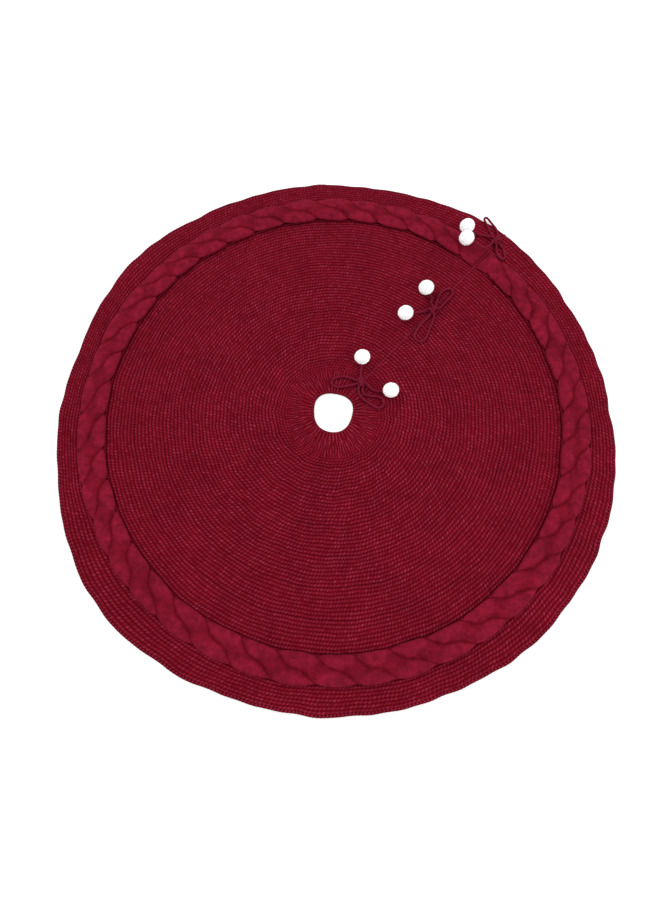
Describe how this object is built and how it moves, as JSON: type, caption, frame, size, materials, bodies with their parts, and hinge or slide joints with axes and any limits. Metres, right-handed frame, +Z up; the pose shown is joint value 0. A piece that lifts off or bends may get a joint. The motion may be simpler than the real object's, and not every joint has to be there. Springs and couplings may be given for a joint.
{
  "type": "tree skirt",
  "caption": "Round burgundy knitted tree skirt, laid flat, with a rope-cable band near its edge and a slit closed by corded bows that end in white pompoms.",
  "frame": {"origin": "centre of the trunk hole, on the underside of the skirt where it lies on the floor", "axes": "+Z up out of the floor; seen from above with +Y away from the viewer the slit runs from the hole towards +X and +Y, 46 degrees from +X"},
  "size_m": [1.203, 1.2078, 0.0552],
  "materials": {
    "burgundy_knit": "matt knitted yarn",
    "cable_knit": "matt knitted yarn",
    "burgundy_cord": "matt twisted cord",
    "white_yarn": "fluffy cut yarn"
  },
  "bodies": {
    "skirt": {"neck_edge": "burgundy_knit", "neck_rib": "burgundy_knit", "body_panel": "burgundy_knit", "cable_web": "cable_knit", "cable_strand_a": "cable_knit", "cable_strand_b": "cable_knit", "border_band": "burgundy_knit", "hem_edge": "burgundy_knit", "slit_edge_left": "burgundy_knit", "slit_edge_right": "burgundy_knit", "inner_bow_knot": "burgundy_cord", "inner_tie_root_a": "burgundy_cord", "inner_tie_root_b": "burgundy_cord", "middle_bow_knot": "burgundy_cord", "middle_tie_root_a": "burgundy_cord", "middle_tie_root_b": "burgundy_cord", "outer_bow_knot": "burgundy_cord", "outer_tie_root_a": "burgundy_cord", "outer_tie_root_b": "burgundy_cord"},
    "inner_loop_a": {"inner_bow_loop_a": "burgundy_cord"},
    "inner_tail_a": {"inner_bow_tail_a": "burgundy_cord", "inner_tail_end_a": "burgundy_cord", "inner_pompom_a": "white_yarn"},
    "inner_loop_b": {"inner_bow_loop_b": "burgundy_cord"},
    "inner_tail_b": {"inner_bow_tail_b": "burgundy_cord", "inner_tail_end_b": "burgundy_cord", "inner_pompom_b": "white_yarn"},
    "middle_loop_a": {"middle_bow_loop_a": "burgundy_cord"},
    "middle_tail_a": {"middle_bow_tail_a": "burgundy_cord", "middle_tail_end_a": "burgundy_cord", "middle_pompom_a": "white_yarn"},
    "middle_loop_b": {"middle_bow_loop_b": "burgundy_cord"},
    "middle_tail_b": {"middle_bow_tail_b": "burgundy_cord", "middle_tail_end_b": "burgundy_cord", "middle_pompom_b": "white_yarn"},
    "outer_loop_a": {"outer_bow_loop_a": "burgundy_cord"},
    "outer_tail_a": {"outer_bow_tail_a": "burgundy_cord", "outer_tail_end_a": "burgundy_cord", "outer_pompom_a": "white_yarn"},
    "outer_loop_b": {"outer_bow_loop_b": "burgundy_cord"},
    "outer_tail_b": {"outer_bow_tail_b": "burgundy_cord", "outer_tail_end_b": "burgundy_cord", "outer_pompom_b": "white_yarn"}
  },
  "joints": [
    {"name": "inner_loop_a_lift", "type": "hinge", "parent": "skirt", "child": "inner_loop_a", "pos_m": [0.06321, 0.06546, 0.0143], "axis": [0.1392, 0.9903, 0], "range_deg": [0, 60]},
    {"name": "inner_tail_a_swing", "type": "hinge", "parent": "skirt", "child": "inner_tail_a", "pos_m": [0.06321, 0.06546, 0.0143], "axis": [0, 0, 1], "range_deg": [0, 35]},
    {"name": "inner_loop_b_lift", "type": "hinge", "parent": "skirt", "child": "inner_loop_b", "pos_m": [0.06321, 0.06546, 0.0143], "axis": [-0.766, -0.6428, 0], "range_deg": [0, 60]},
    {"name": "inner_tail_b_swing", "type": "hinge", "parent": "skirt", "child": "inner_tail_b", "pos_m": [0.06321, 0.06546, 0.0143], "axis": [0, 0, 1], "range_deg": [-20, 20]},
    {"name": "middle_loop_a_lift", "type": "hinge", "parent": "skirt", "child": "middle_loop_a", "pos_m": [0.23839, 0.23966, 0.0143], "axis": [0.766, -0.6428, 0], "range_deg": [0, 60]},
    {"name": "middle_tail_a_swing", "type": "hinge", "parent": "skirt", "child": "middle_tail_a", "pos_m": [0.23839, 0.23966, 0.0143], "axis": [0, 0, 1], "range_deg": [-15, 8]},
    {"name": "middle_loop_b_lift", "type": "hinge", "parent": "skirt", "child": "middle_loop_b", "pos_m": [0.23839, 0.23966, 0.0143], "axis": [-0.866, 0.5, 0], "range_deg": [0, 60]},
    {"name": "middle_tail_b_swing", "type": "hinge", "parent": "skirt", "child": "middle_tail_b", "pos_m": [0.23839, 0.23966, 0.0143], "axis": [0, 0, 1], "range_deg": [-8, 9]},
    {"name": "outer_loop_a_lift", "type": "hinge", "parent": "skirt", "child": "outer_loop_a", "pos_m": [0.40208, 0.42357, 0.0143], "axis": [0.9848, 0.1736, 0], "range_deg": [0, 60]},
    {"name": "outer_tail_a_swing", "type": "hinge", "parent": "skirt", "child": "outer_tail_a", "pos_m": [0.40208, 0.42357, 0.0143], "axis": [0, 0, 1], "range_deg": [-16, 0]},
    {"name": "outer_loop_b_lift", "type": "hinge", "parent": "skirt", "child": "outer_loop_b", "pos_m": [0.40208, 0.42357, 0.0143], "axis": [-0.9063, -0.4226, 0], "range_deg": [0, 60]},
    {"name": "outer_tail_b_swing", "type": "hinge", "parent": "skirt", "child": "outer_tail_b", "pos_m": [0.40208, 0.42357, 0.0143], "axis": [0, 0, 1], "range_deg": [0, 20]}
  ]
}
